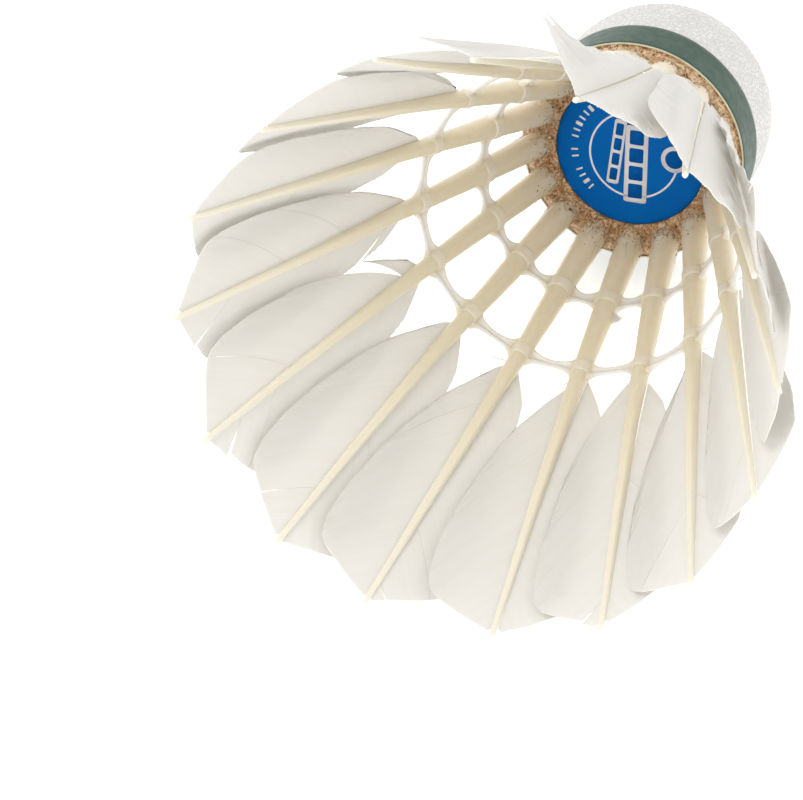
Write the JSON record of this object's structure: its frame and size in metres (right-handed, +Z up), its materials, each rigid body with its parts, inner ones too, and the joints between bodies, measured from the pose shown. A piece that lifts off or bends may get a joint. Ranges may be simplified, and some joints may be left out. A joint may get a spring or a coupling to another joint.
{
  "type": "badminton shuttlecock",
  "caption": "Feather badminton shuttlecock lying at rest: a flared skirt of overlapping feathers, bound by two thread rows and set in a round leather-covered cork base.",
  "frame": {"origin": "on the floor, under the middle of the lying shuttlecock's bounding box", "axes": "+Z up from the floor that it lies on, -Y the way the skirt's mouth points, +Y towards the cork. The axis dips 16.5 degrees towards the cork, so that the skirt's rim and the cork both touch the floor."},
  "size_m": [0.0666, 0.0892, 0.0646],
  "materials": {
    "feather_shaft": "satin cream-yellow keratin quill",
    "feather_vane": "off-white translucent goose-feather vane with fine slanted barbs",
    "cork": "dry granular cork",
    "leather": "thin white leather with a fine pebbled grain",
    "tape": "satin dark green tape",
    "label": null,
    "thread": "white thread under clear lacquer",
    "glue": "clear glue full of cork dust"
  },
  "bodies": {
    "root": {"feather_shaft_01": "feather_shaft", "feather_shaft_02": "feather_shaft", "feather_shaft_03": "feather_shaft", "feather_shaft_04": "feather_shaft", "feather_shaft_05": "feather_shaft", "feather_shaft_06": "feather_shaft", "feather_shaft_07": "feather_shaft", "feather_shaft_08": "feather_shaft", "feather_shaft_09": "feather_shaft", "feather_shaft_10": "feather_shaft", "feather_shaft_11": "feather_shaft", "feather_shaft_12": "feather_shaft", "feather_shaft_13": "feather_shaft", "feather_shaft_14": "feather_shaft", "feather_shaft_15": "feather_shaft", "feather_shaft_16": "feather_shaft", "feather_vane_01": "feather_vane", "feather_vane_02": "feather_vane", "feather_vane_03": "feather_vane", "feather_vane_04": "feather_vane", "feather_vane_05": "feather_vane", "feather_vane_06": "feather_vane", "feather_vane_07": "feather_vane", "feather_vane_08": "feather_vane", "feather_vane_09": "feather_vane", "feather_vane_10": "feather_vane", "feather_vane_11": "feather_vane", "feather_vane_12": "feather_vane", "feather_vane_13": "feather_vane", "feather_vane_14": "feather_vane", "feather_vane_15": "feather_vane", "feather_vane_16": "feather_vane", "cork_base": "cork", "leather_cover": "leather", "edge_tape": "tape", "base_label": "label", "thread_row_inner": "thread", "thread_row_outer": "thread", "root_glue": "glue"}
  },
  "joints": []
}
